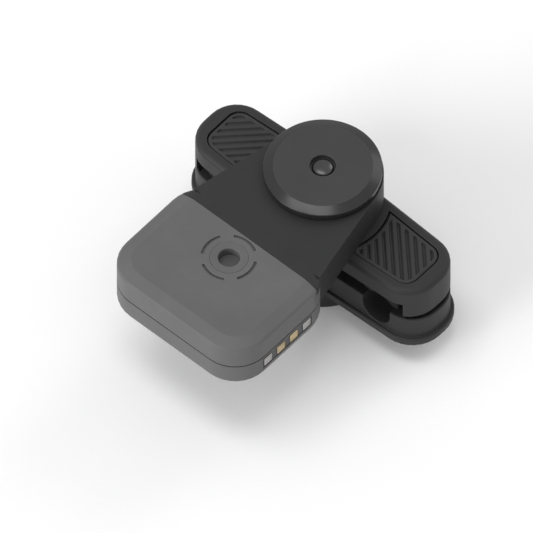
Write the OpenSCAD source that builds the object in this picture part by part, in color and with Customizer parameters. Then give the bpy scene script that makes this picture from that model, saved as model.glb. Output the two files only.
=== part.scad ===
// Clamp with a turning knob that grips two parallel rods and carries a
// small electronics box on a swivelling arm.
// Frame: origin on the knob axis at the height of the rod centres,
// +X across the rods, +Y along them, +Z up to the knob.

/* [Rods] */
// Diameter of each gripped rod
rod_d = 7; // [6.4:0.1:7.6]
// Distance between the centres of the two rods
rod_spacing = 43; // [41:0.5:45]
// Clearance between a rod and its groove
rod_clearance = 0.05; // [0.02:0.01:0.1]

/* [Upper bar] */
// Length of the upper bar past the centre of each rod
upper_overhang = 10.3; // [9.2:0.1:11.4]
// Width of the upper bar at its middle
upper_mid_w = 18.8; // [17:0.2:20]
// Width of the upper bar at its ends
upper_end_w = 16.4; // [15.4:0.2:17]
// Corner radius of the upper bar in plan
upper_corner_r = 7; // [6:0.1:7.6]
// Thickness of the upper bar between its end lips
upper_t = 4.5; // [4:0.1:6]
// Rounding of the upper edge of the upper bar
upper_edge_r = 1.2; // [0.6:0.1:1.5]
// Radius of the round middle of the upper bar
upper_boss_r = 11.9; // [11.5:0.1:12.4]
// Thickness of the lip at each end of the upper bar
lip_t = 3.4; // [2.6:0.1:4]
// Drop of each end lip below the underside of the bar
lip_drop = 3.9; // [2:0.1:4.4]

/* [Lower bar] */
// Length of the skirt past each end of the upper bar
lower_overhang = 1.2; // [0.8:0.1:2]
// Width of the skirt of the lower bar at its middle
lower_mid_w = 18.6; // [17.6:0.2:20]
// Width of the skirt of the lower bar at its ends
lower_end_w = 16.8; // [16:0.2:17.6]
// Corner radius of the skirt in plan
lower_corner_r = 7.6; // [6.6:0.1:7.8]
// Width of the ledge where the wall steps in above the skirt
skirt_step = 0.8; // [0.4:0.1:1]
// Height of the skirt
skirt_h = 2.4; // [1.8:0.1:3]
// Rounding of the lowest edge of the skirt
skirt_edge_r = 0.9; // [0.5:0.1:1.2]
// Rounding of the upper edge of the lower bar
lower_edge_r = 0.3; // [0.2:0.1:0.6]
// Thickness of the lower bar
lower_t = 8.3; // [7.4:0.1:9]
// Height of the top of the lower bar over the rod centres
lower_rise = 2; // [1:0.1:2.4]
// Depth of the trough that the end lip stands over
trough_h = 1; // [0.5:0.1:1.4]
// Wall left round the trough
trough_wall = 0.6; // [0.5:0.1:1]
// Radius of the round boss under the lower bar
boss_r = 11.3; // [10.8:0.1:11.8]
// Rounding of the lower edge of the boss
boss_edge_r = 1; // [0.5:0.1:1.4]
// Gap between the two bars when they grip the rods
bar_gap = 5.3; // [5:0.1:6]

/* [Jaw pads] */
// Size of a jaw pad across the rod
jaw_w = 9; // [8.4:0.1:10]
// Size of a jaw pad along the rod
jaw_l = 12.4; // [10:0.1:13]
// Gap between a jaw pad and the lower bar
jaw_gap = 0.4; // [0.3:0.1:0.8]
// Size of the key on top of a jaw pad across the rod
key_w = 5; // [4:0.1:6]
// Size of the key along the rod
key_l = 8; // [6:0.1:9]
// Height of the key
key_h = 1; // [0.6:0.1:1.4]

/* [Grip panels] */
// Inner radius of the panels round the knob axis
panel_inner_r = 14.4; // [14:0.1:15]
// Distance from the outer end of a panel to the end of the bar
panel_end = 3.6; // [3:0.1:4.4]
// Width of a panel at its inner end
panel_inner_w = 12.7; // [12:0.1:13.4]
// Width of a panel at its outer end
panel_outer_w = 11; // [10:0.1:11.6]
// Corner radius of a panel at its outer end
panel_corner_r = 2.8; // [2:0.1:3.4]
// Thickness of a panel
panel_t = 1.3; // [1:0.1:1.6]
// Width of the groove left open round a panel
panel_gap = 0.35; // [0.2:0.05:0.5]
// Width of the plain border round the ribs
panel_border = 0.8; // [0.5:0.1:1.2]
// Pitch of the diagonal grooves
rib_pitch = 1.55; // [1.3:0.05:2]
// Width of a diagonal groove
rib_groove_w = 0.7; // [0.5:0.05:0.8]
// Depth of a diagonal groove
rib_groove_h = 0.5; // [0.3:0.1:0.6]
// Angle of the grooves from the length of the bar
rib_angle = 37.5; // [30:0.5:45]

/* [Index ring] */
// Outer radius of the toothed ring
ring_outer_r = 11.3; // [11:0.1:11.4]
// Inner radius of the toothed ring
ring_inner_r = 9.6; // [9.3:0.1:10]
// Thickness of the toothed ring under its teeth
ring_t = 0.7; // [0.5:0.1:0.9]
// Height of a tooth
tooth_h = 0.4; // [0.3:0.1:0.5]
// Number of teeth
teeth = 36; // [24:4:48]
// Radius of the circle of relief holes inside the ring
relief_r = 7.6; // [7.3:0.1:7.8]
// Diameter of a relief hole
relief_d = 2.4; // [1.8:0.1:2.6]
// Number of relief holes
reliefs = 10; // [6:1:12]

/* [Knob and stud] */
// Diameter of the knob
knob_d = 24.7; // [22:0.1:25]
// Height of the plain rim of the knob
knob_rim_h = 1.4; // [1:0.1:2]
// Width of the sloped edge of the knob
knob_slope_w = 2.05; // [1:0.05:3]
// Height of the sloped edge of the knob
knob_slope_h = 0.8; // [0.5:0.1:1.5]
// Diameter of the neck under the knob
neck_d = 9.6; // [9:0.1:10]
// Length of the neck
neck_l = 4.9; // [4.4:0.1:5.4]
// Thickness of the neck's floor under the head of the stud
neck_floor = 0.6; // [0.5:0.1:0.8]
// Room between the neck and the bush
neck_room = 0.1; // [0.05:0.05:0.2]
// Diameter of the recess in the knob's top
recess_d = 5.4; // [5:0.1:6]
// Depth of the recess in the knob's top
recess_h = 1.1; // [0.8:0.1:1.2]
// Diameter of the pin's domed head
pin_head_d = 4.5; // [4:0.1:4.8]
// Height of the straight edge of the pin's head
pin_edge_h = 0.3; // [0.2:0.1:0.4]
// Height of the dome of the pin's head
pin_dome_h = 0.7; // [0.4:0.1:0.7]
// Diameter of the pin's shank
pin_d = 2.4; // [2:0.1:2.6]
// Diameter of the threaded stud
stud_d = 5; // [4.8:0.1:5.2]
// Diameter of the stud's head inside the neck
stud_head_d = 7.2; // [6.8:0.1:7.6]
// Height of the stud's head
stud_head_h = 3; // [2.5:0.1:3.2]
// Diameter of the stop clip on the end of the stud
clip_d = 7.4; // [7:0.1:7.6]
// Thickness of the stop clip
clip_t = 0.8; // [0.6:0.1:1]
// Depth of the groove that holds the stop clip
clip_groove = 0.5; // [0.4:0.1:0.6]
// Width of the opening of the stop clip
clip_slot_w = 2.5; // [2:0.1:3]
// Room between the stop clip and the nut at full travel
clip_room = 0.1; // [0.05:0.05:0.2]
// Length of the stud past the stop clip
stud_end = 0.2; // [0.1:0.05:0.4]
// Travel of the lower bar away from the upper bar
clamp_travel = 4; // [3.5:0.1:4]
// Thickness of the thrust washer under the knob
washer_t = 0.4; // [0.3:0.1:0.6]
// Outer diameter of the thrust washer
washer_d = 15; // [13:0.5:18]

/* [Nut, cap and spring] */
// Distance across the flats of the nut
nut_af = 8; // [7.6:0.1:8.4]
// Height of the nut
nut_h = 4; // [3.5:0.1:4.2]
// Depth of the top of the nut below the rod centres
nut_depth = 1.5; // [1.5:0.1:2]
// Thickness of the cap that closes the boss
cap_t = 0.9; // [0.8:0.1:1.2]
// Room between the end of the stud and the cap
cap_room = 0.3; // [0.2:0.1:1]
// Width of the rim round the cap
cap_rim = 0.6; // [0.5:0.1:0.8]
// Wall of the sleeve that holds the nut
sleeve_wall = 1; // [0.8:0.1:1.2]
// Step from the corners of the nut out to the sleeve
sleeve_step = 0.2; // [0.1:0.05:0.4]
// Outer diameter of the spring
spring_d = 8; // [7.4:0.1:8.4]
// Diameter of the spring wire
spring_wire = 0.8; // [0.6:0.1:0.9]
// Number of turns of the spring
spring_turns = 5; // [4:1:6]
// Depth of the spring pocket in the upper bar
upper_pocket_h = 2; // [1.5:0.1:2.2]
// Depth of the spring pocket in the lower bar
lower_pocket_h = 2.2; // [1.8:0.1:2.4]

/* [Arm] */
// Radius of the round hub of the arm
hub_r = 12.6; // [12.4:0.1:13]
// Height of the hub and the arm
hub_h = 8.7; // [8:0.1:9.4]
// Angle by which each side of the arm flares
flare_angle = 11.8; // [10:0.2:13]
// Length of the arm's root past the front of the box
arm_root = 3.2; // [2:0.1:3.6]
// Length of the arm's tongue over the top of the box
tongue_l = 5.6; // [5:0.1:6]
// Thickness of the tongue at the rim of the box
tongue_t = 2.2; // [1.8:0.1:2.6]
// Outer diameter of the bush in the hub
bush_d = 8; // [7.4:0.1:8.6]
// Distance of an arm screw from the middle of the arm
arm_screw_x = 9.5; // [8:0.5:11]
// Length of an arm screw in the tongue
arm_screw_bite = 1.4; // [1:0.1:1.6]

/* [Box] */
// Distance from the knob axis to the front of the box
box_reach = 17.3; // [17.3:0.1:20]
// Width of the box across the rods
box_w = 38; // [36:0.5:42]
// Length of the box along the rods
box_l = 30.4; // [30:0.2:36]
// Height of the box without its crown
box_h = 12; // [11.4:0.1:14]
// Drop of the rim of the box below the top of the arm
rim_drop = 0.4; // [0.2:0.1:0.6]
// Corner radius of the box
box_corner_r = 8; // [7:0.1:9]
// Height of the crown over the rim
crown_h = 0.8; // [0.4:0.1:1]
// Width of the slope round the crown
crown_w = 3; // [2:0.1:4]
// Bevel of the rim of the box
rim_bevel = 0.4; // [0.2:0.1:0.6]
// Height of the lower shell with half of the seam
lower_shell_h = 5.9; // [5.6:0.1:6.4]
// Rounding of the lower edge of the box
box_edge_r = 1.6; // [1:0.1:2]
// Wall thickness of the shells
shell_wall = 1.6; // [1.4:0.1:2]
// Thickness of the top of the box under the tongue
roof_t = 1.4; // [1.2:0.1:1.8]
// Thickness of the gasket in the seam
gasket_t = 0.4; // [0.3:0.1:0.6]
// Depth of the seam groove
seam_depth = 0.4; // [0.3:0.1:0.6]

/* [Socket] */
// Distance from the front of the box to the socket's centre
socket_y = 11.9; // [11.8:0.1:13]
// Diameter of the socket's opening
socket_d = 4.6; // [4:0.1:5]
// Outer diameter of the socket's insert
socket_ring_d = 8; // [7.4:0.1:8.4]
// Height of the socket's insert
socket_h = 3; // [2.6:0.1:3.4]
// Thickness of the floor of the socket's insert
socket_floor = 0.6; // [0.4:0.1:0.8]
// Radius of the ring of arc slots
slot_r = 5.6; // [5.2:0.1:5.8]
// Width of an arc slot
slot_w = 0.6; // [0.4:0.1:0.8]
// Depth of an arc slot
slot_h = 0.6; // [0.4:0.1:0.8]
// Angle that an arc slot spans
slot_angle = 62; // [50:1:70]

/* [Contacts] */
// Pitch of the contacts
contact_pitch = 4; // [3.6:0.1:4]
// Length of a contact along the wall
contact_l = 2.4; // [2:0.1:2.6]
// Height of a contact
contact_h = 2.2; // [1.8:0.1:2.4]
// Thickness of the contact strip
strip_t = 1; // [0.8:0.1:1.1]
// Height of the contact strip
strip_h = 3.4; // [3:0.1:3.6]
// Length of the contact strip past the outer contacts
strip_end = 0.4; // [0.2:0.1:0.8]
// Depth of the strip's face below the wall
strip_sink = 0.15; // [0.1:0.05:0.3]
// Height of the contacts over the strip
contact_proud = 0.25; // [0.1:0.05:0.4]
// Height of the strip's middle over the middle of the lower shell
contact_rise = 0.9; // [0.4:0.1:0.9]

/* [Inside the box] */
// Thickness of the circuit board
board_t = 1; // [0.8:0.1:1.2]
// Clearance round the board inside the walls
board_gap = 0.6; // [0.4:0.1:1]
// Gap between the battery cell and each side wall
battery_side_gap = 4.4; // [3:0.1:6]
// Thickness of the battery cell
battery_t = 4.2; // [3:0.1:4.2]
// Diameter of a case screw's head
screw_head_d = 3.6; // [3.2:0.1:4]
// Diameter of a case screw's shank
screw_d = 1.8; // [1.6:0.1:2]
// Height of a case screw's head
screw_head_h = 1.2; // [1:0.1:1.4]
// Depth of a case screw's head below the box
screw_sink = 0.2; // [0.1:0.05:0.4]
// Room past the tip of a screw in its hole
screw_room = 0.2; // [0.1:0.05:0.3]
// Diameter of a screw post
post_d = 4.6; // [4.2:0.1:5]
// Distance of a screw post from the walls
post_margin = 1.2; // [0.8:0.1:1.6]
// Solid end of a screw post past its hole
post_end_t = 1; // [0.8:0.1:1.4]

/* [Fits] */
// Gap between pressed pieces
press_gap = 0.02; // [0.01:0.01:0.04]
// Gap between turning pieces
run_gap = 0.08; // [0.05:0.01:0.1]
// Gap between pieces that only slide past each other
slide_gap = 0.3; // [0.3:0.05:0.4]

/* [Hidden] */

$fn = 72;
// Facets of the shapes that are blended together
blend_fn = 32;
// Steps of a drawn arc, steps of one turn of the coil and sides of its wire
arc_steps = 5;
coil_steps = 20;
coil_sides = 8;
// Small overlap that lets a cut pass a face
past = 0.1;
// Rounding of an edge that stays sharp
sharp_r = 0.01;
// Number of the last contact, counted from zero
contact_last = 3;

// Heights of the stack over the rod centres
groove_r = rod_d / 2 + rod_clearance;
lower_top = lower_rise;
lower_bottom = lower_top - lower_t;
upper_bottom = lower_top + bar_gap;
upper_top = upper_bottom + upper_t;
lip_bottom = upper_bottom - lip_drop;
hub_top = upper_top + hub_h;
knob_bottom = hub_top + washer_t;
knob_rim_top = knob_bottom + knob_rim_h;
knob_top = knob_rim_top + knob_slope_h;
neck_bottom = knob_bottom - neck_l;
bush_top = neck_bottom - neck_room;
stud_head_bottom = neck_bottom + neck_floor;
stud_head_top = stud_head_bottom + stud_head_h;
nut_top = -nut_depth;
nut_bottom = nut_top - nut_h;
clip_top = nut_bottom - clamp_travel - clip_room;
stud_bottom = clip_top - clip_t - stud_end;
cap_top = stud_bottom - cap_room;
boss_bottom = cap_top - cap_t;

// Lengths of the bars and the panels, and the diameters round the nut
upper_l = rod_spacing + 2 * upper_overhang;
lower_l = upper_l + 2 * lower_overhang;
panel_reach = upper_l / 2 - panel_end;
rib_rows = ceil((panel_reach - panel_inner_r + panel_inner_w) / 2 / rib_pitch);
sleeve_outer_d = nut_af / cos(30) + 2 * (press_gap + sleeve_step);
sleeve_inner_d = sleeve_outer_d - 2 * sleeve_wall;
cap_d = 2 * (boss_r - boss_edge_r - cap_rim);

// Levels and middle of the box
rim_top = hub_top - rim_drop;
crown_top = rim_top + crown_h;
box_bottom = rim_top - box_h;
seam_low = box_bottom + lower_shell_h;
seam_high = seam_low + gasket_t;
box_front = -box_reach;
box_mid_y = box_front - box_l / 2;
tongue_bottom = rim_top - tongue_t;
tongue_end = box_front - tongue_l;
roof_bottom = tongue_bottom - roof_t;
floor_top = box_bottom + shell_wall;
socket_centre_y = box_front - socket_y;
contact_mid_z = (box_bottom + seam_low) / 2 + contact_rise;
strip_l = contact_last * contact_pitch + contact_l + 2 * strip_end;
post_inset = shell_wall + post_margin + post_d / 2;
battery_w = box_w - 2 * (shell_wall + battery_side_gap);
battery_l = box_l - 2 * post_inset - post_d - 2 * slide_gap;
arm_screw_y = box_front - shell_wall - slide_gap - screw_head_d / 2;

// Points of an arc about (x, y) from one angle to another
function arc_points(x, y, r, from, to) =
    [for (i = [0:arc_steps])
        let (a = from + (to - from) * i / arc_steps)
        [x + r * cos(a), y + r * sin(a)]];

// Round pillar with rounded lower and upper edges
module pillar(r, bottom, top, low_r, high_r) {
    rotate_extrude($fn = blend_fn)
        polygon(concat(
            [[0, bottom]],
            arc_points(r - low_r, bottom + low_r, low_r, -90, 0),
            arc_points(r - high_r, top - high_r, high_r, 0, 90),
            [[0, top]]));
}

// Tapered bar with round corners, blended from six pillars
module bar_form(length, mid_w, end_w, corner_r, bottom, top, low_r, high_r) {
    hull() {
        for (sx = [-1, 1], sy = [-1, 1])
            translate([sx * (length / 2 - corner_r), sy * (end_w / 2 - corner_r), 0])
                pillar(corner_r, bottom, top, low_r, high_r);
        for (sy = [-1, 1])
            translate([0, sy * (mid_w / 2 - corner_r), 0])
                pillar(corner_r, bottom, top, low_r, high_r);
    }
}

// Straight hole or disc between two levels
module disc(d, bottom, top) {
    translate([0, 0, bottom])
        cylinder(d = d, h = top - bottom);
}

// Rounded rectangle between two levels, centred on the middle of the box
module box_prism(inset, bottom, top) {
    w = box_w - 2 * inset;
    l = box_l - 2 * inset;
    r = box_corner_r - inset;
    translate([0, box_mid_y, bottom])
        linear_extrude(top - bottom) {
            square([w - 2 * r, l], center = true);
            square([w, l - 2 * r], center = true);
            for (sx = [-1, 1], sy = [-1, 1])
                translate([sx * (w / 2 - r), sy * (l / 2 - r)])
                    circle(r);
        }
}

// Places its children at the four screw posts of the box
module at_posts() {
    for (sx = [-1, 1], sy = [-1, 1])
        translate([sx * (box_w / 2 - post_inset), box_mid_y + sy * (box_l / 2 - post_inset), 0])
            children();
}

// Groove for a rod, open upwards
module rod_groove(side) {
    translate([side * rod_spacing / 2, 0, 0]) {
        rotate([90, 0, 0])
            cylinder(r = groove_r, h = 2 * lower_mid_w, center = true);
        translate([-groove_r, -lower_mid_w, 0])
            cube([2 * groove_r, 2 * lower_mid_w, lower_top + past]);
    }
}

// Plan of a grip panel, grown or shrunk by a border
module panel_plan(grow) {
    reach = panel_reach + grow;
    inner = panel_inner_w / 2 + grow;
    outer = panel_outer_w / 2 + grow;
    r = panel_corner_r + grow;
    inner_r = panel_inner_r - grow;
    inner_x = sqrt(inner_r * inner_r - inner * inner);
    slope = (inner - outer) / (reach - inner_x);
    turn_x = reach - r + r * sin(atan(slope));
    difference() {
        union() {
            polygon([
                [0, -inner - slope * inner_x], [turn_x, -outer],
                [turn_x, outer], [0, inner + slope * inner_x]]);
            translate([reach - r, -(outer - r)])
                square([r, 2 * (outer - r)]);
            for (sy = [-1, 1])
                translate([reach - r, sy * (outer - r)])
                    circle(r);
        }
        circle(inner_r);
    }
}

// Upper bar: moulded cap that holds the rods down
module upper_bar() {
    color([0.22, 0.22, 0.22])
    difference() {
        union() {
            bar_form(upper_l, upper_mid_w, upper_end_w, upper_corner_r,
                lip_bottom, upper_top, sharp_r, upper_edge_r);
            disc(2 * upper_boss_r, upper_bottom, upper_top);
        }
        // Space under the bar between the end lips
        translate([-(upper_l / 2 - lip_t), -upper_mid_w, lip_bottom - past])
            cube([upper_l - 2 * lip_t, 2 * upper_mid_w, upper_bottom - lip_bottom + past]);
        // Bore and spring pocket
        disc(stud_d + 2 * run_gap, upper_bottom - past, upper_top + past);
        disc(spring_d + 2 * slide_gap, upper_bottom - past, upper_bottom + upper_pocket_h);
        // Seat of the toothed ring with the relief holes inside it
        difference() {
            disc(2 * (ring_outer_r + press_gap), upper_top - ring_t - tooth_h, upper_top + past);
            disc(2 * (ring_inner_r - press_gap), upper_bottom, upper_top + 2 * past);
        }
        for (i = [0:reliefs - 1])
            rotate([0, 0, 360 * (i + 0.5) / reliefs])
                translate([relief_r, 0, 0])
                    disc(relief_d, upper_top - ring_t - tooth_h, upper_top + past);
        // Seats of the grip panels and keyways of the jaw pads
        for (side = [0, 1])
            mirror([side, 0, 0]) {
                translate([0, 0, upper_top - panel_t])
                    linear_extrude(panel_t + past)
                        panel_plan(panel_gap);
                translate([rod_spacing / 2 - key_w / 2 - press_gap, -key_l / 2 - press_gap,
                    upper_bottom - past])
                    cube([key_w + 2 * press_gap, key_l + 2 * press_gap, key_h + past]);
            }
    }
}

// Grip panel: inlay with diagonal grooves, let into the upper bar
module grip_panel(side) {
    mirror([side, 0, 0])
        difference() {
            translate([0, 0, upper_top - panel_t])
                linear_extrude(panel_t)
                    panel_plan(0);
            intersection() {
                translate([0, 0, upper_top - rib_groove_h])
                    linear_extrude(rib_groove_h + past)
                        panel_plan(-panel_border);
                for (i = [-rib_rows:rib_rows])
                    translate([(panel_inner_r + panel_reach) / 2, 0, upper_top - rib_groove_h])
                        rotate([0, 0, -rib_angle])
                            translate([-panel_reach / 2, i * rib_pitch - rib_groove_w / 2, 0])
                                cube([panel_reach, rib_groove_w, rib_groove_h + past]);
            }
        }
}

module grip_panel_left() {
    color([0.25, 0.25, 0.26]) grip_panel(1);
}

module grip_panel_right() {
    color([0.25, 0.25, 0.26]) grip_panel(0);
}

// Jaw pad: rubber block keyed into the upper bar over a rod
module jaw_pad(side) {
    bottom = lower_top + jaw_gap;
    translate([side * rod_spacing / 2, 0, 0])
        difference() {
            union() {
                translate([-jaw_w / 2, -jaw_l / 2, bottom])
                    cube([jaw_w, jaw_l, upper_bottom - bottom]);
                translate([-key_w / 2, -key_l / 2, bottom])
                    cube([key_w, key_l, upper_bottom + key_h - bottom]);
            }
            rotate([90, 0, 0])
                cylinder(r = groove_r, h = 2 * jaw_l, center = true);
        }
}

module jaw_pad_left() {
    color([0.1, 0.1, 0.1]) jaw_pad(-1);
}

module jaw_pad_right() {
    color([0.1, 0.1, 0.1]) jaw_pad(1);
}

// Index ring: toothed ring pressed into the top of the upper bar
module index_ring() {
    base = upper_top - ring_t - tooth_h;
    pitch = PI * (ring_inner_r + ring_outer_r) / teeth;
    color([0.3, 0.3, 0.3])
    difference() {
        union() {
            disc(2 * ring_outer_r, base, base + ring_t);
            intersection() {
                disc(2 * ring_outer_r, base + ring_t / 2, upper_top);
                for (i = [0:teeth - 1])
                    rotate([0, 0, 360 * i / teeth])
                        translate([ring_inner_r - past, -pitch / 4, base])
                            cube([ring_outer_r, pitch / 2, ring_t + tooth_h]);
            }
        }
        disc(2 * ring_inner_r, base - past, upper_top + past);
    }
}

// Lower bar: carries the rods in two grooves, with the nut in its boss
module lower_bar() {
    trough_inset = skirt_step + trough_wall;
    color([0.2, 0.2, 0.2])
    difference() {
        union() {
            bar_form(lower_l, lower_mid_w, lower_end_w, lower_corner_r,
                lower_bottom, lower_bottom + skirt_h, skirt_edge_r, skirt_step / 2);
            bar_form(lower_l - 2 * skirt_step, lower_mid_w - 2 * skirt_step,
                lower_end_w - 2 * skirt_step, lower_corner_r - skirt_step,
                lower_bottom + skirt_edge_r, lower_top, sharp_r, lower_edge_r);
            rotate_extrude()
                polygon(concat(
                    [[0, boss_bottom]],
                    arc_points(boss_r - boss_edge_r, boss_bottom + boss_edge_r, boss_edge_r, -90, 0),
                    [[boss_r, lower_top], [0, lower_top]]));
        }
        for (side = [-1, 1])
            rod_groove(side);
        // Troughs that the end lips stand over
        for (side = [0, 1])
            mirror([side, 0, 0])
                intersection() {
                    translate([upper_l / 2 - lip_t - slide_gap, -upper_end_w, lower_top - trough_h])
                        cube([lip_t + 2 * slide_gap, 2 * upper_end_w, trough_h + past]);
                    bar_form(lower_l - 2 * trough_inset, lower_mid_w - 2 * trough_inset,
                        lower_end_w - 2 * trough_inset, lower_corner_r - trough_inset,
                        lower_bottom, upper_top, sharp_r, sharp_r);
                }
        // Bore, spring pocket, nut pocket and mouth of the boss
        disc(stud_d + 2 * run_gap, boss_bottom, lower_top + past);
        disc(spring_d + 2 * slide_gap, lower_top - lower_pocket_h, lower_top + past);
        translate([0, 0, nut_bottom - past])
            rotate([0, 0, 30])
                cylinder(d = (nut_af + 2 * press_gap) / cos(30), h = nut_h + past, $fn = 6);
        disc(sleeve_outer_d + 2 * press_gap, boss_bottom - past, nut_bottom);
        disc(cap_d + 2 * press_gap, boss_bottom - past, cap_top);
    }
}

// Nut: hexagon held against turning in the lower bar
module clamp_nut() {
    color([0.75, 0.75, 0.76])
    difference() {
        translate([0, 0, nut_bottom])
            rotate([0, 0, 30])
                cylinder(d = nut_af / cos(30), h = nut_h, $fn = 6);
        disc(stud_d + 2 * run_gap, nut_bottom - past, nut_top + past);
    }
}

// Cap: closes the boss, and its sleeve keeps the nut in place
module boss_cap() {
    color([0.18, 0.18, 0.18]) {
        difference() {
            union() {
                disc(cap_d, boss_bottom, cap_top);
                disc(sleeve_outer_d, cap_top - past, nut_bottom);
            }
            disc(sleeve_inner_d, cap_top, nut_bottom + past);
        }
    }
}

// Spring: opens the bars when the knob is slackened
module return_spring() {
    bottom = lower_top - lower_pocket_h;
    height = upper_bottom + upper_pocket_h - bottom;
    coil_r = (spring_d - spring_wire) / 2;
    steps = coil_steps * spring_turns;
    rise = height - spring_wire;
    rings = [for (i = [0:steps], k = [0:coil_sides - 1])
        let (a = 360 * i / coil_steps)
        let (b = 360 * k / coil_sides)
        let (r = coil_r + spring_wire / 2 * cos(b))
        let (z = bottom + spring_wire / 2 * (1 + sin(b)) + rise * i / steps)
        [r * cos(a), r * sin(a), z]];
    walls = [for (i = [0:steps - 1], k = [0:coil_sides - 1])
        let (n = (k + 1) % coil_sides)
        let (low = i * coil_sides)
        let (high = low + coil_sides)
        [low + k, high + k, high + n, low + n]];
    ends = [
        [for (k = [0:coil_sides - 1]) k],
        [for (k = [0:coil_sides - 1]) (steps + 1) * coil_sides - 1 - k]];
    color([0.7, 0.7, 0.72])
        polyhedron(points = rings, faces = concat(walls, ends), convexity = 8);
}

// Knob: turned disc with a sloped edge and a neck in the hub
module knob_cap() {
    color([0.27, 0.27, 0.27])
    difference() {
        union() {
            rotate_extrude()
                polygon([
                    [0, knob_bottom], [knob_d / 2, knob_bottom], [knob_d / 2, knob_rim_top],
                    [knob_d / 2 - knob_slope_w, knob_top], [0, knob_top]]);
            disc(neck_d, neck_bottom, knob_bottom + past);
        }
        disc(recess_d, knob_top - recess_h, knob_top + past);
        disc(pin_d + 2 * press_gap, neck_bottom, knob_top);
        disc(stud_head_d + 2 * press_gap, stud_head_bottom, stud_head_top);
        disc(stud_d + 2 * press_gap, neck_bottom - past, stud_head_top);
    }
}

// Pin: domed rivet that locks the stud in the knob
module knob_pin() {
    seat = knob_top - recess_h;
    color([0.35, 0.35, 0.35]) {
        translate([0, 0, seat])
            rotate_extrude()
                polygon(concat(
                    [[0, 0], [pin_head_d / 2, 0]],
                    [for (p = arc_points(0, 0, 1, 0, 90))
                        [pin_head_d / 2 * p[0], pin_edge_h + pin_dome_h * p[1]]]));
        disc(pin_d, stud_head_top - stud_head_h / 2, seat + past);
    }
}

// Stud: headed screw that the knob turns
module clamp_stud() {
    color([0.72, 0.72, 0.73])
    difference() {
        union() {
            disc(stud_head_d, stud_head_bottom, stud_head_top);
            disc(stud_d, stud_bottom, stud_head_top - past);
        }
        disc(pin_d + 2 * press_gap, stud_head_top - stud_head_h / 2, stud_head_top + past);
        difference() {
            disc(stud_d + 2 * past, clip_top - clip_t, clip_top);
            disc(stud_d - 2 * clip_groove, stud_bottom, clip_top + past);
        }
    }
}

// Stop clip: open ring in the groove near the end of the stud
module stop_clip() {
    color([0.6, 0.6, 0.62])
    difference() {
        disc(clip_d, clip_top - clip_t + press_gap, clip_top - press_gap);
        disc(stud_d - 2 * clip_groove + 2 * press_gap, clip_top - clip_t - past, clip_top + past);
        translate([0, -clip_slot_w / 2, clip_top - clip_t - past])
            cube([clip_d, clip_slot_w, clip_t + 2 * past]);
    }
}

// Thrust washer: runs between the knob and the hub
module thrust_washer() {
    color([0.65, 0.65, 0.66])
    difference() {
        disc(washer_d, hub_top, knob_bottom);
        disc(neck_d + 2 * run_gap, hub_top - past, knob_bottom + past);
    }
}

// Outside of the box: rounded lower edge and a low crown with a sloped border
module box_form() {
    hull()
        for (sx = [-1, 1], sy = [-1, 1])
            translate([sx * (box_w / 2 - box_corner_r), box_mid_y + sy * (box_l / 2 - box_corner_r), 0])
                rotate_extrude($fn = blend_fn)
                    polygon(concat(
                        [[0, box_bottom]],
                        arc_points(box_corner_r - box_edge_r, box_bottom + box_edge_r, box_edge_r, -90, 0),
                        [[box_corner_r, rim_top - rim_bevel], [box_corner_r - rim_bevel, rim_top],
                         [box_corner_r - crown_w, crown_top], [0, crown_top]]));
}

// Zone at the front of the box top that belongs to the arm's tongue
module tongue_zone(gap) {
    translate([-box_w, tongue_end - gap, tongue_bottom - gap])
        cube([2 * box_w, tongue_l + 2 * gap + past, box_h]);
}

// Arm: hub, flared arm and tongue that laps over the front of the box
module hub_arm() {
    root_y = box_front - arm_root;
    root_x = (hub_r - root_y * sin(flare_angle)) / cos(flare_angle);
    color([0.27, 0.27, 0.27])
    difference() {
        union() {
            difference() {
                translate([0, 0, upper_top])
                    linear_extrude(hub_h) {
                        circle(hub_r);
                        polygon([
                            [-root_x, root_y], [root_x, root_y],
                            [hub_r * cos(flare_angle), hub_r * sin(flare_angle)],
                            [-hub_r * cos(flare_angle), hub_r * sin(flare_angle)]]);
                    }
                box_prism(0, box_bottom, tongue_bottom);
            }
            intersection() {
                box_form();
                tongue_zone(0);
            }
        }
        disc(bush_d + 2 * press_gap, upper_top - past, hub_top + past);
        disc(neck_d + 2 * run_gap, bush_top, hub_top + past);
        // Pilot holes of the two screws from inside the box
        for (side = [-1, 1])
            translate([side * arm_screw_x, arm_screw_y, 0])
                disc(screw_d + 2 * press_gap, tongue_bottom - past,
                    tongue_bottom + arm_screw_bite + screw_room);
    }
}

// Bush: plain bearing of the hub on the stud
module hub_bush() {
    color([0.55, 0.5, 0.4])
    difference() {
        disc(bush_d, upper_top, bush_top);
        disc(stud_d + 2 * run_gap, upper_top - past, neck_bottom + past);
    }
}

// Upper shell of the box, with the seat of the tongue and the screw posts
module box_top_shell() {
    color([0.42, 0.42, 0.42])
    difference() {
        intersection() {
            box_form();
            box_prism(-past, seam_high, crown_top + past);
        }
        tongue_zone(press_gap);
        difference() {
            box_prism(shell_wall, seam_high - past, roof_bottom);
            at_posts()
                disc(post_d, seam_high - past, roof_bottom);
        }
        at_posts()
            disc(screw_d + 2 * press_gap, seam_high - past, roof_bottom - post_end_t);
        for (side = [-1, 1])
            translate([side * arm_screw_x, arm_screw_y, 0])
                disc(screw_d + 2 * press_gap, roof_bottom - past, tongue_bottom + past);
        // Socket seat and the four arc slots round it
        translate([0, socket_centre_y, 0]) {
            disc(socket_ring_d + 2 * press_gap, crown_top - socket_h, crown_top + past);
            for (i = [0:3])
                rotate([0, 0, 90 * i - slot_angle / 2])
                    translate([0, 0, crown_top - slot_h])
                        rotate_extrude(angle = slot_angle)
                            translate([slot_r - slot_w / 2, 0])
                                square([slot_w, slot_h + past]);
        }
    }
}

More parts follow.
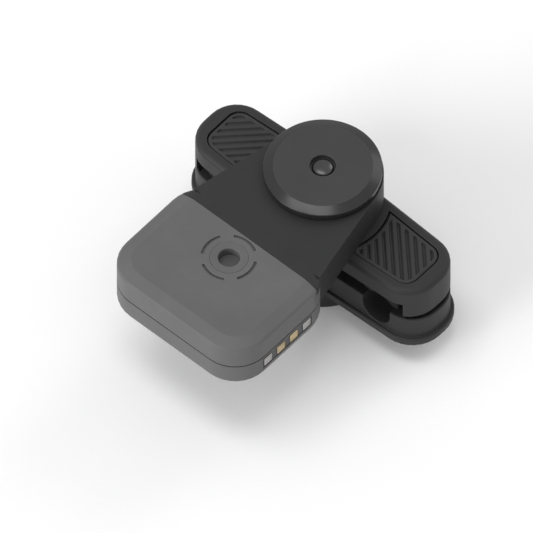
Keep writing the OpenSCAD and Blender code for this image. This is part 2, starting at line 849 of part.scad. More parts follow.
// Lower shell of the box, with the recess of the contact strip
module box_bottom_shell() {
    color([0.4, 0.4, 0.4])
    difference() {
        intersection() {
            box_form();
            box_prism(-past, box_bottom - past, seam_low);
        }
        difference() {
            box_prism(shell_wall, floor_top, seam_low + past);
            at_posts()
                disc(post_d, floor_top - past, seam_low + past);
        }
        at_posts() {
            disc(screw_d + 2 * slide_gap, box_bottom, seam_low + past);
            disc(screw_head_d + 2 * slide_gap, box_bottom - past,
                box_bottom + screw_sink + screw_head_h);
        }
        translate([box_w / 2 - strip_t, box_mid_y - strip_l / 2, contact_mid_z - strip_h / 2])
            cube([strip_t + past, strip_l, strip_h]);
        for (i = [0:contact_last])
            translate([box_w / 2 - shell_wall - past, contact_y(i) - contact_l / 2,
                contact_mid_z - contact_h / 2])
                cube([shell_wall, contact_l, contact_h]);
    }
}

// Place of a contact along the wall
function contact_y(i) = box_mid_y + (i - contact_last / 2) * contact_pitch;

// Gasket in the seam between the two shells
module shell_gasket() {
    color([0.12, 0.12, 0.12])
    difference() {
        box_prism(seam_depth, seam_low, seam_high);
        box_prism(shell_wall, seam_low - past, seam_high + past);
        at_posts()
            disc(post_d, seam_low - past, seam_high + past);
    }
}

// Socket insert: round bush with a blind hole in the box's crown
module socket_insert() {
    color([0.36, 0.36, 0.36])
    translate([0, socket_centre_y, 0])
        difference() {
            disc(socket_ring_d, crown_top - socket_h, crown_top);
            disc(socket_d, crown_top - socket_h + socket_floor, crown_top + past);
        }
}

// Contact strip: insulating bar that carries the four contacts
module contact_strip() {
    color([0.15, 0.16, 0.2])
    difference() {
        translate([box_w / 2 - strip_t, box_mid_y - strip_l / 2 + press_gap,
            contact_mid_z - strip_h / 2 + press_gap])
            cube([strip_t - strip_sink, strip_l - 2 * press_gap, strip_h - 2 * press_gap]);
        for (i = [0:contact_last])
            translate([box_w / 2 - shell_wall, contact_y(i) - contact_l / 2,
                contact_mid_z - contact_h / 2])
                cube([2 * shell_wall, contact_l, contact_h]);
    }
}

// One contact block through the strip and the wall
module contact_block(i) {
    translate([box_w / 2 - shell_wall, contact_y(i) - contact_l / 2 + press_gap,
        contact_mid_z - contact_h / 2 + press_gap])
        cube([shell_wall - strip_sink + contact_proud, contact_l - 2 * press_gap,
            contact_h - 2 * press_gap]);
}

// Contacts: the two gilded blocks in the middle
module contact_pads() {
    color([0.85, 0.68, 0.3]) {
        contact_block(1);
        contact_block(contact_last - 1);
    }
}

// Latch plates: the two bright steel blocks at the ends
module latch_plates() {
    color([0.85, 0.84, 0.8]) {
        contact_block(0);
        contact_block(contact_last);
    }
}

// Circuit board, laid on the battery cell between the screw posts
module circuit_board() {
    bottom = floor_top + battery_t;
    color([0.1, 0.25, 0.15])
    difference() {
        box_prism(shell_wall + board_gap, bottom, bottom + board_t);
        at_posts()
            disc(post_d + 2 * slide_gap, bottom - past, bottom + board_t + past);
    }
}

// Battery cell between the board and the lower shell
module battery_cell() {
    color([0.6, 0.62, 0.65])
    translate([-battery_w / 2, box_mid_y - battery_l / 2, floor_top])
        cube([battery_w, battery_l, battery_t]);
}

// Case screws: four from below into the posts of the upper shell
module case_screws() {
    color([0.6, 0.6, 0.62])
    at_posts() {
        disc(screw_head_d, box_bottom + screw_sink, box_bottom + screw_sink + screw_head_h);
        disc(screw_d, box_bottom + screw_head_h, roof_bottom - post_end_t - screw_room);
    }
}

// Arm screws: two from inside the box into the tongue
module arm_screws() {
    color([0.6, 0.6, 0.62])
    for (side = [-1, 1])
        translate([side * arm_screw_x, arm_screw_y, 0]) {
            disc(screw_head_d, roof_bottom - screw_head_h, roof_bottom);
            disc(screw_d, roof_bottom - past, tongue_bottom + arm_screw_bite);
        }
}

upper_bar();
grip_panel_left();
grip_panel_right();
jaw_pad_left();
jaw_pad_right();
index_ring();
lower_bar();
clamp_nut();
boss_cap();
return_spring();
knob_cap();
knob_pin();
clamp_stud();
stop_clip();
thrust_washer();
hub_arm();
hub_bush();
box_top_shell();
box_bottom_shell();
shell_gasket();
socket_insert();
contact_strip();
contact_pads();
latch_plates();
circuit_board();
battery_cell();
case_screws();
arm_screws();
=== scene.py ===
import bmesh
import bpy
import numpy as np
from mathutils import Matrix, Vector


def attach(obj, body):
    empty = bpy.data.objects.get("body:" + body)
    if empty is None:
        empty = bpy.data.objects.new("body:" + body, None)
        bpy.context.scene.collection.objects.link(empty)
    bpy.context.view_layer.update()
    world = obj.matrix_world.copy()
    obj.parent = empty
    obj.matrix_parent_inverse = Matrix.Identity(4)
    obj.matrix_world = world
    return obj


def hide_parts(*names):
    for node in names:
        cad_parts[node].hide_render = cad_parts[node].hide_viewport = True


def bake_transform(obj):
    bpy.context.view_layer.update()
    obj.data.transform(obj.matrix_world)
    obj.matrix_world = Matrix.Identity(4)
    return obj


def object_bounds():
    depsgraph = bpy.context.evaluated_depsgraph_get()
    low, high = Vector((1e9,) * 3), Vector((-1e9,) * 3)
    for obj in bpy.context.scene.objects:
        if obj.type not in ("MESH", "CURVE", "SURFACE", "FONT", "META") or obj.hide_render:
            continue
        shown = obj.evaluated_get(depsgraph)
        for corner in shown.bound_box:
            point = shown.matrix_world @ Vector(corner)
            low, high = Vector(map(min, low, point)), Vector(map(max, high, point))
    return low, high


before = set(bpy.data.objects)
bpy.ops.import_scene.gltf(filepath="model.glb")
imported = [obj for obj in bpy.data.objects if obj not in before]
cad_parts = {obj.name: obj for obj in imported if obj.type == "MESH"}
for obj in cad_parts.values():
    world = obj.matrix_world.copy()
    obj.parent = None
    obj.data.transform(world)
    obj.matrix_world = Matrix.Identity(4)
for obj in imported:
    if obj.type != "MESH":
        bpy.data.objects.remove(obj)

for stray in ("Cube", "Light", "Camera"):
    if stray in bpy.data.objects:
        bpy.data.objects.remove(bpy.data.objects[stray])
cad_box = [list(corner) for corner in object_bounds()]

# Upper bar: the cap that holds the rods down, with a lip at each end and a
# round boss in the middle. Moulded in glass-filled nylon, nearly black, with
# a fine eroded grain; its edges are a little rubbed.
MM = 0.001
weld, flat_turn = 0.012, 0.6
edge_starts, edge_full = 0.01, 0.16


class Shade:
    """One output in a material's nodes. + - * on it, with a number on either side, add Math nodes."""

    def __init__(self, tree, socket=None):
        self.tree, self.socket = tree, socket

    def add(self, kind, settings=None, values=None, out=0):
        """Adds a node of that kind: first its settings, then its sockets' values or links."""
        node = self.tree.nodes.new("ShaderNode" + kind)
        for key, value in (settings or {}).items():
            setattr(node, key, value)
        for key, value in (values or {}).items():
            if isinstance(value, Shade):
                self.tree.links.new(value.socket, node.inputs[key])
            else:
                node.inputs[key].default_value = value
        return Shade(self.tree, node.outputs[out])

    def math(self, operation, first, second):
        """A Math node on two values."""
        return self.add("Math", {"operation": operation}, {0: first, 1: second})

    def __add__(self, other):
        return self.math("ADD", self, other)

    def __radd__(self, other):
        return self.math("ADD", other, self)

    def __sub__(self, other):
        return self.math("SUBTRACT", self, other)

    def __rsub__(self, other):
        return self.math("SUBTRACT", other, self)

    def __mul__(self, other):
        return self.math("MULTIPLY", self, other)

    def __rmul__(self, other):
        return self.math("MULTIPLY", other, self)

    def span(self, low, high):
        """0 where the value is at low, 1 where it is at high, held there beyond both."""
        return self.add("MapRange", {"clamp": True}, {0: self, 1: low, 2: high})

    def blend(self, colour, other):
        """The first colour where this mask is 0, the other where it is 1."""
        return self.add("Mix", {"data_type": "RGBA"}, {0: self, 6: colour, 7: other}, out=2)

    def noise(self, scale, detail, rough):
        """A noise pattern at this place, with about `scale` waves to a metre."""
        values = {"Vector": self, "Scale": scale, "Detail": detail, "Roughness": rough}
        return self.add("TexNoise", None, values)


def srgb(level, tint=(1.0, 1.0, 1.0)):
    """The linear colour of a grey on a picture's scale of 0 to 255, by the sRGB curve, times a tint."""
    value = level / 255
    value = value / 12.92 if value <= 0.04045 else ((value + 0.055) / 1.055) ** 2.4
    return tuple(value * part for part in tint) + (1.0,)


def finish(name):
    """A new material, its shader node and the object's own coordinates."""
    material = bpy.data.materials.new(name)
    material.use_nodes = True
    tree = material.node_tree
    return material, tree.nodes["Principled BSDF"], Shade(tree).add("TexCoord", out="Object")


def edge_rub(place, width):
    """1 along edges, 0 on open faces: one less the dot product of the face's normal and the normal averaged
    over `width` mm, spread between the values of a faint and of a full edge."""
    rounded = place.add("Bevel", {"samples": 6}, {"Radius": width * MM})
    facing = place.add("NewGeometry", out="Normal")
    same = place.add("VectorMath", {"operation": "DOT_PRODUCT"}, {0: rounded, 1: facing}, out="Value")
    return (1.0 - same).span(edge_starts, edge_full)


def wire(shader, colour, gloss, bump):
    """Links what varies over the surface into the shader."""
    for socket, value in (("Base Color", colour), ("Roughness", gloss), ("Normal", bump)):
        value.tree.links.new(value.socket, shader.inputs[socket])


def moulded(name, level, rough, tint=(1.0, 1.0, 1.0), grain=0.3, depth=0.014, rub=0.5):
    """Moulded plastic: an eroded grain in the bump, slow drift of colour and gloss, paler, smoother edges."""
    drift_scale, scuff_scale, drift = 85.0, 420.0, 0.035
    worn_w, worn_level = 0.35, min(level * 1.35 + 12, 235)
    drift_gloss, grain_gloss, worn_gloss = 0.12, 0.1, 0.12
    material, shader, place = finish(name)
    fine = place.noise(1 / MM / grain, 3.0, 0.6)
    slow = place.noise(drift_scale, 4.0, 0.55)
    scuff = place.noise(scuff_scale, 5.0, 0.7)
    worn = edge_rub(place, worn_w) * scuff.span(0.35, 0.65) * rub
    body = slow.span(0.3, 0.7).blend(srgb(level * (1 - drift), tint), srgb(level * (1 + drift), tint))
    colour = worn.blend(body, srgb(worn_level, tint))
    gloss = (slow - 0.5) * drift_gloss + (fine - 0.5) * grain_gloss + rough - worn * worn_gloss
    bump = place.add("Bump", None, {"Strength": 0.7, "Distance": depth * MM, "Height": fine})
    wire(shader, colour, gloss, bump)
    shader.inputs["Specular IOR Level"].default_value = 0.2
    return material


def placed(name, mesh, body, material, slot, *nodes):
    """The mesh as a piece that rides on that body, if any, and stands for those CAD nodes."""
    mesh.materials.clear()
    mesh.materials.append(material)
    piece = bpy.data.objects.new(name, mesh)
    bpy.context.scene.collection.objects.link(piece)
    if body:
        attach(piece, body)
    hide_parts(*nodes)
    return piece


def moulding(node, body, material, slot, edge=0.14, steps=3, over=35, above=-100.0):
    """A CAD solid's own surface, merged and with its flat faces made whole. An edge that turns by more than
    `over` degrees and lies above the height `above` is rounded by `edge` mm. The other edges that turn as far
    are left crisp, and so are all of them where `edge` is 0."""
    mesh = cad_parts[node].data.copy()
    if "custom_normal" in mesh.attributes:
        mesh.attributes.remove(mesh.attributes["custom_normal"])
    solid = bmesh.new()
    solid.from_mesh(mesh)
    bmesh.ops.remove_doubles(solid, verts=solid.verts, dist=weld * MM)
    bmesh.ops.dissolve_limit(solid, angle_limit=np.radians(flat_turn), verts=solid.verts, edges=solid.edges)
    for face in solid.faces:
        face.smooth = True
    weight = solid.edges.layers.float.new("bevel_weight_edge")
    for line in solid.edges:
        turns = line.calc_face_angle(0) > np.radians(over)
        line[weight] = float(turns and edge > 0 and min(point.co.z for point in line.verts) > above * MM)
        line.smooth = not turns or line[weight] > 0
    solid.to_mesh(mesh)
    solid.free()
    piece = placed(node + "_skin", mesh, body, material, slot, node)
    if edge:
        rounding = piece.modifiers.new("edges", "BEVEL")
        rounding.width, rounding.segments = edge * MM, steps
        rounding.limit_method = "WEIGHT"
        rounding.use_clamp_overlap = False
    weighted = piece.modifiers.new("normals", "WEIGHTED_NORMAL")
    weighted.mode, weighted.weight, weighted.keep_sharp = "FACE_AREA", 50, True
    return piece


bar_nylon = moulded("bar_nylon", 46, 0.5)
moulding("upper_bar", "clamp_top", bar_nylon, "bar_nylon", edge=0)

# Grip panels: two inlays let into the upper bar with a gap all round, each
# with diagonal ribs that give the thumb a hold. Moulded in the same nylon,
# with rounded grooves inside a plain border.
panel_inner_r, panel_reach, panel_tip_r = 14.4, 28.2, 2.8
panel_inner_w, panel_outer_w = 12.7, 11.0
panel_corner_x = np.sqrt(panel_inner_r ** 2 - (panel_inner_w / 2) ** 2)
panel_top, panel_t, lip_w, lip_h = 11.76, 1.26, 0.35, 0.18
rib_pitch, rib_angle, rib_end, rib_fade = 1.64, np.radians(45), 0.64, 0.25
groove_h, groove_reach, groove_power = 0.5, 0.4588, 1.2
touch = 0.0004


def panel_half(x):
    """Half the panel's width: an even taper from the corners on the inner arc to the outer end."""
    taper = (panel_inner_w - panel_outer_w) / 2 / (panel_reach - panel_corner_x)
    return panel_inner_w / 2 - taper * (x - panel_corner_x)


def panel_grid(long=150, wide=110):
    """Plan points from the inner arc to the outer end. A row starts on the arc, at the root of its radius
    squared less y squared, ends on the tip line, held inside the corner arcs, and lies at its share of half
    the width."""
    along = np.linspace(0, 1, long)[:, None]
    across = np.linspace(-1, 1, wide)[None, :]
    x_start = np.sqrt(panel_inner_r ** 2 - (across * panel_inner_w / 2) ** 2)
    into = np.clip(np.abs(across) * panel_outer_w / 2 - (panel_outer_w / 2 - panel_tip_r), 0, None)
    x_end = panel_reach - panel_tip_r + np.sqrt(np.clip(panel_tip_r ** 2 - into ** 2, 0, None))
    x = x_start + (x_end - x_start) * along
    return x, across * panel_half(x)


def panel_height(x, y):
    """Height of the ribbed face: the top less a groove, a power of a sine, where the diagonal distance falls
    near a whole pitch, faded out towards the border, and less the square of how near the outline is."""
    across = (x - (panel_inner_r + panel_reach) / 2) * np.sin(rib_angle) + y * np.cos(rib_angle)
    off = np.abs((across / rib_pitch + 0.5) % 1 - 0.5) * rib_pitch
    groove = np.sin(np.clip(1 - off / groove_reach, 0, 1) * np.pi / 2) ** groove_power
    half = panel_half(x)
    core_x, core_y = panel_reach - panel_tip_r, half - panel_tip_r
    tip = panel_tip_r - np.hypot(np.clip(x - core_x, 0, None), np.clip(np.abs(y) - core_y, 0, None))
    inside = np.minimum(np.minimum(half - np.abs(y), np.hypot(x, y) - panel_inner_r), tip)
    fade = np.clip((inside - rib_end) / rib_fade, 0, 1)
    lip = lip_h * np.clip(1 - inside / lip_w, 0, 1) ** 2
    return panel_top - groove_h * groove * fade * fade * (3 - 2 * fade) - lip


def closed_sheet(top, bottom):
    """Points and faces of a slab: a grid of top points, a grid of bottom points and walls along the edges."""
    rows, columns = top.shape[:2]
    under = rows * columns
    points = np.concatenate([top.reshape(-1, 3), bottom.reshape(-1, 3)])
    index = np.arange(under).reshape(rows, columns)
    quad = np.stack([index[:-1, :-1], index[1:, :-1], index[1:, 1:], index[:-1, 1:]], -1).reshape(-1, 4)
    rim = np.concatenate([index[:-1, 0], index[-1, :-1], index[:0:-1, -1], index[0, :0:-1]])
    after = np.roll(rim, -1)
    wall = np.stack([rim, rim + under, after + under, after], -1)
    return points, np.concatenate([quad, quad[:, ::-1] + under, wall])


def shaped(name, points, faces, sharp=30.0):
    """A mesh in millimetre points: its doubles and poles merged, its faces outwards and smooth up to the
    sharp angle."""
    mesh = bpy.data.meshes.new(name)
    mesh.from_pydata((np.asarray(points) * MM).tolist(), [], np.asarray(faces).tolist())
    solid = bmesh.new()
    solid.from_mesh(mesh)
    bmesh.ops.remove_doubles(solid, verts=solid.verts, dist=touch * MM)
    bmesh.ops.recalc_face_normals(solid, faces=solid.faces)
    for face in solid.faces:
        face.smooth = True
    for line in solid.edges:
        line.smooth = bool(line.is_manifold and line.calc_face_angle(0) < np.radians(sharp))
    solid.to_mesh(mesh)
    solid.free()
    return mesh


panel_nylon = moulded("panel_nylon", 52, 0.46, rub=0.4)
plan_x, plan_y = panel_grid()
for side, name in ((-1, "left"), (1, "right")):
    top = np.stack([side * plan_x, plan_y, panel_height(plan_x, plan_y)], -1)
    bottom = np.stack([side * plan_x, plan_y, np.full_like(plan_x, panel_top - panel_t)], -1)
    mesh = shaped(f"panel_{name}", *closed_sheet(top, bottom))
    placed(f"ribbed_panel_{name}", mesh, "clamp_top", panel_nylon, "panel_nylon", f"grip_panel_{name}")

# Jaw pads: two rubber blocks keyed into the underside of the upper bar, each
# with a half-round groove that bears on its rod.
jaw_rubber = moulded("jaw_rubber", 34, 0.82, grain=0.45, depth=0.012, rub=0.15)
for name in ("jaw_pad_left", "jaw_pad_right"):
    moulding(name, "clamp_top", jaw_rubber, "jaw_rubber", edge=0.2)

# Index ring: a toothed ring pressed into the top of the upper bar, under the
# hub of the arm. Moulded in a hard nylon.
ring_nylon = moulded("ring_nylon", 60, 0.42)
moulding("index_ring", "clamp_top", ring_nylon, "ring_nylon", edge=0.06, steps=2)

# Return spring: a coil of hard-drawn wire round the stud that opens the bars
# when the knob is slackened.
coil_r, wire_r, coil_low, coil_high, coil_turns, turn_steps = 3.6, 0.4, -0.2, 9.3, 5, 90


def tube(path, radius, sides=14):
    """A round section carried along a path: the path plus the radius times the cosine and sine of a turn, laid
    along two directions square to it. The radius is nothing at both ends, so that they are closed."""
    path = np.concatenate([path[:1], path, path[-1:]])
    radius = np.concatenate([[0], np.full(len(path) - 2, radius), [0]])
    ahead = np.gradient(path, axis=0)
    ahead[0], ahead[-1] = ahead[1], ahead[-2]
    ahead /= np.linalg.norm(ahead, axis=1, keepdims=True)
    out = np.cross(ahead, [0, 0, 1])
    out /= np.linalg.norm(out, axis=1, keepdims=True)
    up = np.cross(out, ahead)
    turn = np.linspace(0, 2 * np.pi, sides, endpoint=False)[None, :, None]
    ring = out[:, None] * np.cos(turn) + up[:, None] * np.sin(turn)
    return path[:, None] + ring * radius[:, None, None]


def wrapped(grid, both=False):
    """Points and faces of a grid whose columns close on themselves, and its rows too where both is set."""
    rows, columns = grid.shape[:2]
    index = np.arange(rows * columns).reshape(rows, columns)
    ahead = np.roll(index, -1, axis=0)
    if not both:
        index, ahead = index[:-1], ahead[:-1]
    beside, across = np.roll(index, -1, axis=1), np.roll(ahead, -1, axis=1)
    return grid.reshape(-1, 3), np.stack([index, ahead, across, beside], -1).reshape(-1, 4)


def metal(name, level, rough, tint=(1.0, 1.0, 1.0), stretch=(1.0, 1.0, 1.0), depth=0.002):
    """Bare or plated metal: fine lines drawn out along one axis in gloss and bump, dull spots, brighter
    edges."""
    line_scale, spot_scale, worn_w = 2600.0, 260.0, 0.2
    dull_level, worn_level = level * 0.86, min(level * 1.12, 250)
    line_gloss, dull_gloss, worn_gloss = 0.16, 0.14, 0.06
    material, shader, place = finish(name)
    lines = place.add("Mapping", None, {"Vector": place, "Scale": stretch}).noise(line_scale, 4.0, 0.65)
    dull = place.noise(spot_scale, 5.0, 0.6).span(0.45, 0.75)
    worn = edge_rub(place, worn_w)
    body = dull.blend(srgb(level, tint), srgb(dull_level, tint))
    colour = (worn * 0.5).blend(body, srgb(worn_level, tint))
    gloss = (lines - 0.5) * line_gloss + dull * dull_gloss + rough - worn * worn_gloss
    bump = place.add("Bump", None, {"Strength": 0.5, "Distance": depth * MM, "Height": lines})
    wire(shader, colour, gloss, bump)
    shader.inputs["Metallic"].default_value = 1.0
    return material


spring_steel = metal("spring_steel", 176, 0.3, tint=(1.0, 1.0, 1.03))
turn = np.linspace(0, 1, turn_steps * coil_turns)
climb = coil_low + wire_r + (coil_high - coil_low - 2 * wire_r) * turn
angle = 2 * np.pi * coil_turns * turn
path = np.stack([coil_r * np.cos(angle), coil_r * np.sin(angle), climb], -1)
mesh = shaped("coil", *wrapped(tube(path, wire_r)))
coil = placed("spring_coil", mesh, None, spring_steel, "spring_steel", "return_spring")
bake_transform(coil)

# Lower bar: a tray with a stepped skirt that carries the rods in two grooves,
# with the round boss of the nut beneath it. The same nylon as the upper bar.
moulding("lower_bar", "foot", bar_nylon, "bar_nylon", edge=0.16)

# Cap and nut: a snap-in cap closes the boss from below, and its sleeve keeps
# the plated hexagon nut up in its pocket.
cap_nylon = moulded("cap_nylon", 46, 0.5)
moulding("boss_cap", "foot", cap_nylon, "cap_nylon", edge=0.15)
zinc_steel = metal("zinc_steel", 190, 0.28, tint=(1.0, 1.0, 1.02))
moulding("clamp_nut", "foot", zinc_steel, "zinc_steel", edge=0.12)

# Stud: a headed steel screw that the knob turns, plated, with a rolled thread
# of 0.8 mm pitch along its shank and a groove for the stop clip.
stud_r, stud_low, head_r, head_low, head_high = 2.5, -10.6, 3.6, 16.6, 19.6
thread_pitch, thread_depth, thread_low, thread_high, thread_runout = 0.8, 0.42, -9.2, 11.0, 0.8
clip_low, clip_high, clip_depth, chamfer_r, chamfer_h = -10.4, -9.6, 0.5, 0.3, 0.2


def thread_surface(sides=64, rows=520):
    """Radius over height and angle: the shank less a thread whose depth is a rounded wave of the height less
    the angle's share of a pitch, faded out at both ends, less the clip's groove and a chamfer at the tip."""
    z = np.linspace(stud_low, head_low, rows)[:, None]
    angle = np.linspace(0, 2 * np.pi, sides, endpoint=False)[None, :]
    wave = 0.5 - 0.5 * np.cos(2 * np.pi * (z / thread_pitch - angle / (2 * np.pi)))
    fade = np.clip((z - thread_low) / thread_runout, 0, 1) * np.clip((thread_high - z) / thread_runout, 0, 1)
    radius = stud_r - thread_depth * wave * fade - clip_depth * ((z > clip_low) & (z < clip_high))
    radius = radius - chamfer_r * np.clip(1 - (z - stud_low) / chamfer_h, 0, 1)
    grid = np.stack([radius * np.cos(angle), radius * np.sin(angle), z + 0 * angle], -1)
    ends = [(0.0, stud_low), (head_r, head_low), (head_r, head_high), (0.0, head_high)]
    rings = [np.stack([r * np.cos(angle[0]), r * np.sin(angle[0]), np.full(sides, h)], -1) for r, h in ends]
    return np.concatenate([rings[0][None], grid, np.stack(rings[1:])])


stud_mesh = shaped("stud", *wrapped(thread_surface()))
placed("threaded_stud", stud_mesh, "knob", zinc_steel, "zinc_steel", "clamp_stud")
moulding("stop_clip", "knob", spring_steel, "spring_steel", edge=0.05, steps=2)
moulding("thrust_washer", "knob", zinc_steel, "zinc_steel", edge=0.05, steps=2)

# Knob: a round disc with a matt flat top, a smooth sloped edge and a recess
# for the pin; its neck runs in the hub. Moulded over the head of the stud.
knob_r, knob_low, rim_high, knob_high, slope_w = 12.35, 20.9, 22.3, 23.1, 2.05
neck_r, neck_low, recess_r, recess_low, pin_r, slip = 4.8, 16.0, 2.7, 22.0, 1.2, 0.02


def rounded(corners, steps=7):
    """A closed outline through corners of radius, height and cut: each corner is cut back by its length and
    bridged by a quadratic curve that the corner pulls on."""
    corners = np.array(corners, float)
    spots, cuts = corners[:, :2], corners[:, 2:]
    before, after = np.roll(spots, 1, axis=0) - spots, np.roll(spots, -1, axis=0) - spots
    start = spots + before / np.linalg.norm(before, axis=1, keepdims=True) * cuts
    end = spots + after / np.linalg.norm(after, axis=1, keepdims=True) * cuts
    s = np.linspace(0, 1, steps)[None, :, None]
    curve = (1 - s) ** 2 * start[:, None] + 2 * s * (1 - s) * spots[:, None] + s ** 2 * end[:, None]
    return curve.reshape(-1, 2)


def turned(outline, centre=(0.0, 0.0), turns=180):
    """A closed outline of radius and height carried round a vertical axis: the centre plus the radius times
    the cosine and sine of the angle."""
    angle = np.linspace(0, 2 * np.pi, turns, endpoint=False)[None, :]
    radius, height = outline[:, :1], outline[:, 1:]
    x, y = centre[0] + radius * np.cos(angle), centre[1] + radius * np.sin(angle)
    return wrapped(np.stack([x, y, height + 0 * angle], -1), both=True)


bore_r, pin_bore_r, pocket_r, pocket_high = stud_r + slip, pin_r + slip, head_r + slip, head_high + slip
knob_outline = rounded([
    (bore_r, neck_low, 0.05), (neck_r, neck_low, 0.2), (neck_r, knob_low, 0.1), (knob_r, knob_low, 0.15),
    (knob_r, rim_high, 0.16), (knob_r - slope_w, knob_high, 0.12), (recess_r, knob_high, 0.2),
    (recess_r, recess_low, 0.12), (pin_bore_r, recess_low, 0.05), (pin_bore_r, pocket_high, 0.05),
    (pocket_r, pocket_high, 0.05), (pocket_r, head_low, 0.05), (bore_r, head_low, 0.05)])


def knob_finish():
    """The sloped edge is polished and the flat top is matt: the gloss follows the distance from the axis.
    The slope's colour is also painted darker than the top's: painted shade on the slope.
    """
    fine_scale, slow_scale, worn_w, rub = 3600.0, 110.0, 0.3, 0.3
    matt, polish, slow_gloss, fine_gloss = 0.5, 0.29, 0.1, 0.08
    material, shader, place = finish("knob_nylon")
    level = place.add("VectorMath", {"operation": "MULTIPLY"}, {0: place, 1: (1.0, 1.0, 0.0)})
    radius = place.add("VectorMath", {"operation": "LENGTH"}, {0: level}, out="Value")
    slope = radius.span((knob_r - slope_w - 0.05) * MM, (knob_r - slope_w + 0.1) * MM)
    fine = place.noise(fine_scale, 3.0, 0.6)
    slow = place.noise(slow_scale, 4.0, 0.55)
    worn = edge_rub(place, worn_w) * slow.span(0.3, 0.6) * rub
    flat = slow.span(0.3, 0.7).blend(srgb(51), srgb(55))
    # srgb(38) on the slope is painted shade: the same nylon as the top, painted darker.
    colour = worn.blend(slope.blend(flat, srgb(38)), srgb(80))
    gloss = matt - slope * polish + (slow - 0.5) * slow_gloss + (fine - 0.5) * fine_gloss
    height = fine * (1.0 - slope * 0.8)
    bump = place.add("Bump", None, {"Strength": 0.6, "Distance": 0.004 * MM, "Height": height})
    wire(shader, colour, gloss, bump)
    shader.inputs["Specular IOR Level"].default_value = 0.3
    return material


placed("knob_disc", shaped("knob", *turned(knob_outline)), "knob", knob_finish(), "knob_nylon", "knob_cap")

# Pin: the domed rivet in the knob's recess that locks the stud in the knob.
# Blackened steel, polished on its dome by fingers.
pin_low, dome_r, brim_h, dome_h = 18.1, 2.25, 0.3, 0.7
pin_steel = metal("pin_steel", 74, 0.24)
dome = np.linspace(0, np.pi / 2, 24)
head = np.stack([dome_r * np.cos(dome), recess_low + brim_h + dome_h * np.sin(dome)], -1)
shank = rounded([
    (0.0, pin_low, 0), (pin_r, pin_low, 0.1), (pin_r, recess_low, 0.02), (dome_r, recess_low, 0.1)])
pin_mesh = shaped("pin", *turned(np.concatenate([shank, head]), turns=96))
placed("domed_pin", pin_mesh, "knob", pin_steel, "pin_steel", "knob_pin")

# Arm: the hub, the flared arm and the tongue that laps over the front of the
# box, one moulding in the dark nylon. A bronze bush runs in the hub.
arm_nylon = moulded("arm_nylon", 44, 0.5)
moulding("hub_arm", "module", arm_nylon, "arm_nylon", edge=0)
bush_bronze = metal("bush_bronze", 170, 0.42, tint=(1.0, 0.8, 0.5))
moulding("hub_bush", "module", bush_bronze, "bush_bronze", edge=0.06, steps=2)

# Box: two shells of mid grey plastic that meet on a rubber gasket. The upper
# shell has a low crown with a sloped border; the lower one holds the contacts.
box_plastic = moulded("box_plastic", 96, 0.5, rub=0.25)
moulding("box_top_shell", "module", box_plastic, "box_plastic", edge=0.15, over=12, above=18.0)
moulding("box_bottom_shell", "module", box_plastic, "box_plastic", edge=0)
gasket_rubber = moulded("gasket_rubber", 66, 0.8, depth=0.01, rub=0.0)
moulding("shell_gasket", "module", gasket_rubber, "gasket_rubber", edge=0)

# Socket: a round insert with a blind hole, pressed into the crown of the box,
# smoother than the shell round it.
socket_y, socket_r, socket_low, socket_high, hole_r, hole_low = -29.2, 4.0, 17.9, 20.9, 2.3, 18.5
socket_plastic = moulded("socket_plastic", 94, 0.4, rub=0.3)
socket_outline = rounded([
    (0.0, socket_low, 0), (socket_r, socket_low, 0.15), (socket_r, socket_high, 0.05),
    (hole_r, socket_high, 0.25), (hole_r, hole_low, 0.2), (0.0, hole_low, 0)])
socket_mesh = shaped("socket", *turned(socket_outline, (0.0, socket_y), 120))
placed("socket_bush", socket_mesh, "module", socket_plastic, "socket_plastic", "socket_insert")

# Contacts: a grey insulating strip in the side wall of the lower shell, with
# two gilded contacts between two bright steel latch plates.
strip_plastic = moulded("strip_plastic", 72, 0.4, tint=(0.97, 0.98, 1.05), rub=0.2)
moulding("contact_strip", "module", strip_plastic, "strip_plastic", edge=0.08, steps=2)
contact_gold = metal("contact_gold", 180, 0.32, tint=(1.0, 0.78, 0.44), stretch=(1.0, 1.0, 0.1))
moulding("contact_pads", "module", contact_gold, "contact_gold", edge=0.2)
latch_steel = metal("latch_steel", 158, 0.3, tint=(1.0, 0.99, 0.96), stretch=(1.0, 1.0, 0.1))
moulding("latch_plates", "module", latch_steel, "latch_steel", edge=0.2)

# Inside the box: a circuit board laid on a foil battery cell between the four
# screw posts.
board_laminate = moulded("board_laminate", 70, 0.35, tint=(0.25, 1.0, 0.45), depth=0.003)
moulding("circuit_board", "module", board_laminate, "board_laminate", edge=0.05, steps=2)
cell_foil = metal("cell_foil", 190, 0.38, depth=0.01)
moulding("battery_cell", "module", cell_foil, "cell_foil", edge=0.5)

# Screws: four from below into the posts of the upper shell, and two from
# inside the box into the tongue of the arm. Plated, with six-lobed recesses.
post_x, post_y, box_mid_y, case_low, case_tip = 13.9, 10.1, -32.5, 8.3, 15.3
arm_screw_x, arm_screw_y, arm_low, arm_tip = 9.5, -21.0, 15.3, 19.3
lobe_r, lobe_h, lobe_swing = 0.86, 0.8, 0.13


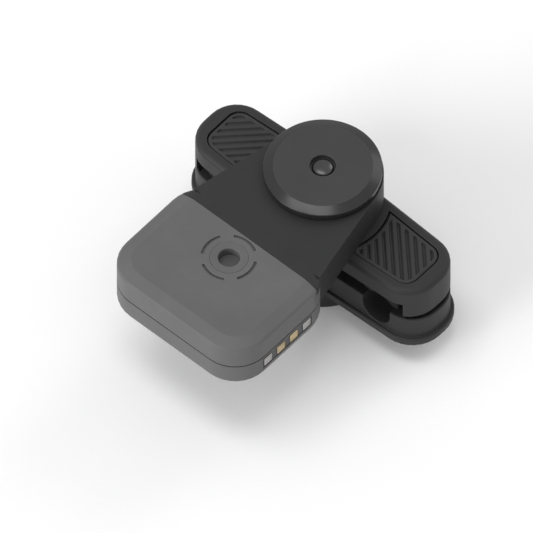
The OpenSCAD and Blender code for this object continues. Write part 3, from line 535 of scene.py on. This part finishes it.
def screw(x, y, low, tip, head_h=1.2, head_d=3.6, shank_d=1.8, turns=72):
    """A turned outline in rows of radius, height over the head's face and swing. The recess rows swing in and
    out six times in a turn: radius times one plus the swing times a cosine."""
    brim, core, length = head_d / 2, shank_d / 2, tip - low
    rows = np.array([
        (0.0, lobe_h, 0.0), (lobe_r, lobe_h, lobe_swing), (0.95, 0.06, lobe_swing), (1.12, 0.0, 0.0),
        (brim - 0.25, 0.0, 0.0), (brim - 0.06, 0.1, 0.0), (brim, 0.35, 0.0), (brim, head_h - 0.05, 0.0),
        (brim - 0.05, head_h, 0.0), (core, head_h, 0.0), (core, length - 0.3, 0.0),
        (core - 0.4, length, 0.0), (0.0, length, 0.0)])
    angle = np.linspace(0, 2 * np.pi, turns, endpoint=False)[None, :]
    radius = rows[:, :1] * (1 + rows[:, 2:] * np.cos(6 * angle))
    height = low + rows[:, 1:2] + 0 * angle
    return wrapped(np.stack([x + radius * np.cos(angle), y + radius * np.sin(angle), height], -1))


def together(parts):
    """Several sets of points and faces as one."""
    counts = np.cumsum([0] + [len(points) for points, faces in parts])
    return np.concatenate([p for p, f in parts]), np.concatenate([f + n for (p, f), n in zip(parts, counts)])


case_set = together([
    screw(sx * post_x, box_mid_y + sy * post_y, case_low, case_tip) for sx in (-1, 1) for sy in (-1, 1)])
case_mesh = shaped("case_screws", *case_set)
placed("case_screw_set", case_mesh, "module", zinc_steel, "zinc_steel", "case_screws")
arm_set = together([screw(sx * arm_screw_x, arm_screw_y, arm_low, arm_tip) for sx in (-1, 1)])
arm_mesh = shaped("arm_screws", *arm_set)
placed("arm_screw_set", arm_mesh, "module", zinc_steel, "zinc_steel", "arm_screws")

# Studio: a pale floor under the boss, an even white sky, a key lamp from the
# front left, two soft ones from above and a faint one from behind, and a
# camera at the angle of the photograph.
floor_gap, floor_half, sky_fill, view_w, view_away = 0.05, 1.5, 0.54, 0.11, 0.6
floor_z = cad_box[0][2] - floor_gap * MM
corners = [(x * floor_half, y * floor_half, floor_z) for x, y in ((-1, -1), (1, -1), (1, 1), (-1, 1))]
sheet = bpy.data.meshes.new("floor")
sheet.from_pydata(corners, [], [(0, 1, 2, 3)])
floor = bpy.data.objects.new("floor", sheet)
bpy.context.scene.collection.objects.link(floor)
paper, shader, place = finish("floor_paper")
mottle = place.add("TexNoise", None, {"Vector": place, "Scale": 30.0})
colour = mottle.blend(srgb(250), srgb(254))
paper.node_tree.links.new(colour.socket, shader.inputs["Base Color"])
shader.inputs["Roughness"].default_value = 0.9
shader.inputs["Specular IOR Level"].default_value = 0.1
sheet.materials.append(paper)

world = bpy.data.worlds.new("sky")
world.use_nodes = True
bpy.context.scene.world = world
sky = Shade(world.node_tree)
seen = sky.add("LightPath", out="Is Camera Ray")
glossy = sky.add("LightPath", out="Is Glossy Ray")
through = sky.add("LightPath", out="Is Transmission Ray")
level = sky.math("MINIMUM", seen + glossy + through, 1.0)
backdrop = world.node_tree.nodes["Background"]
world.node_tree.links.new((level * (1 - sky_fill) + sky_fill).socket, backdrop.inputs["Strength"])
backdrop.inputs["Color"].default_value = (1.0, 1.0, 1.0, 1.0)

lamps = (
    ("key", (-0.30, -0.90, 0.36), 1.9, 35),
    ("top", (0.06, -0.12, 0.99), 0.42, 20),
    ("top_left", (-0.24, -0.18, 0.95), 0.42, 20),
    ("back", (0.05, 0.80, 0.60), 0.3, 26))
for name, way, strength, spread in lamps:
    lamp = bpy.data.lights.new(name, "SUN")
    lamp.energy, lamp.angle = strength, np.radians(spread)
    shining = bpy.data.objects.new(name, lamp)
    shining.rotation_euler = Vector(way).to_track_quat("Z", "Y").to_euler()
    bpy.context.scene.collection.objects.link(shining)

lens = bpy.data.cameras.new("camera")
lens.type, lens.ortho_scale = "ORTHO", view_w
lens.clip_start, lens.clip_end = 0.01, 5.0
camera = bpy.data.objects.new("camera", lens)
turn, rise = np.radians(41.5), np.radians(54.0)
back = Vector((np.sin(turn) * np.cos(rise), -np.cos(turn) * np.cos(rise), np.sin(rise)))
middle = (Vector(cad_box[0]) + Vector(cad_box[1])) / 2
camera.location = middle + back * view_away
camera.rotation_euler = back.to_track_quat("Z", "Y").to_euler()
bpy.context.scene.collection.objects.link(camera)
bpy.context.scene.camera = camera
bpy.context.scene.view_settings.view_transform = "Standard"
